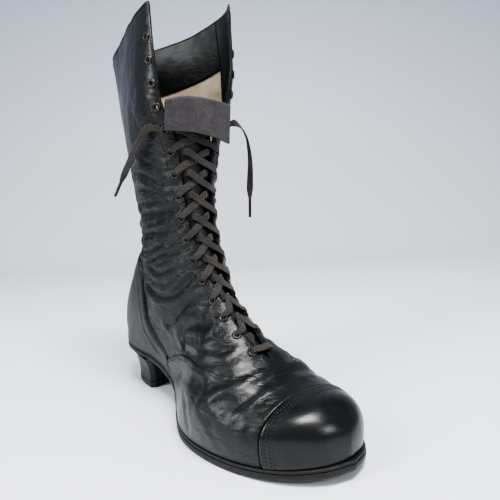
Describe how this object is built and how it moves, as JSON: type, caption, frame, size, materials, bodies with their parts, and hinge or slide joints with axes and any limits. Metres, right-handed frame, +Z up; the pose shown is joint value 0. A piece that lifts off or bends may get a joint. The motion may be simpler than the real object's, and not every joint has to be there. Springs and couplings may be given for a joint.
{
  "type": "lace-up boot",
  "caption": "Old-fashioned high lace-up boot in black leather, for the right foot, its top unlaced and its tongue folded over, empty inside.",
  "frame": {"origin": "on the floor, under the middle of the heel", "axes": "+Z up the leg, -Y towards the toe, +X towards the inner side of the foot"},
  "size_m": [0.0976, 0.262, 0.3171],
  "materials": {
    "upper_leather": "worn black leather with a soft sheen",
    "cap_leather": "polished black leather",
    "tongue_suede": "grey suede",
    "insole_leather": "matt tan leather",
    "sole_leather": "black dressed edges, worn",
    "heel_leather": "black dressed stacked leather",
    "eyelet_enamel": "black enamel, worn",
    "lace": "flat brown-grey cotton lace",
    "aglet_metal": "black enamel"
  },
  "bodies": {
    "root": {"aglet_lateral": "aglet_metal", "aglet_medial": "aglet_metal", "eyelet_lateral_01": "eyelet_enamel", "eyelet_lateral_02": "eyelet_enamel", "eyelet_lateral_03": "eyelet_enamel", "eyelet_lateral_04": "eyelet_enamel", "eyelet_lateral_05": "eyelet_enamel", "eyelet_lateral_06": "eyelet_enamel", "eyelet_lateral_07": "eyelet_enamel", "eyelet_lateral_08": "eyelet_enamel", "eyelet_lateral_09": "eyelet_enamel", "eyelet_lateral_10": "eyelet_enamel", "eyelet_lateral_11": "eyelet_enamel", "eyelet_lateral_12": "eyelet_enamel", "eyelet_lateral_13": "eyelet_enamel", "eyelet_lateral_14": "eyelet_enamel", "eyelet_lateral_15": "eyelet_enamel", "eyelet_lateral_16": "eyelet_enamel", "eyelet_medial_01": "eyelet_enamel", "eyelet_medial_02": "eyelet_enamel", "eyelet_medial_03": "eyelet_enamel", "eyelet_medial_04": "eyelet_enamel", "eyelet_medial_05": "eyelet_enamel", "eyelet_medial_06": "eyelet_enamel", "eyelet_medial_07": "eyelet_enamel", "eyelet_medial_08": "eyelet_enamel", "eyelet_medial_09": "eyelet_enamel", "eyelet_medial_10": "eyelet_enamel", "eyelet_medial_11": "eyelet_enamel", "eyelet_medial_12": "eyelet_enamel", "eyelet_medial_13": "eyelet_enamel", "eyelet_medial_14": "eyelet_enamel", "eyelet_medial_15": "eyelet_enamel", "eyelet_medial_16": "eyelet_enamel", "heel_block": "heel_leather", "heel_counter": "upper_leather", "insole": "insole_leather", "lace_bar": "lace", "lace_crossing_02": "lace", "lace_crossing_03": "lace", "lace_crossing_04": "lace", "lace_crossing_05": "lace", "lace_crossing_06": "lace", "lace_crossing_07": "lace", "lace_crossing_08": "lace", "lace_crossing_09": "lace", "lace_crossing_10": "lace", "lace_crossing_11": "lace", "lace_end_lateral": "lace", "lace_end_medial": "lace", "outsole": "sole_leather", "toe_cap": "cap_leather", "tongue": "tongue_suede", "top_lift": "heel_leather", "upper": "upper_leather", "vamp": "upper_leather", "welt": "sole_leather"}
  },
  "joints": []
}
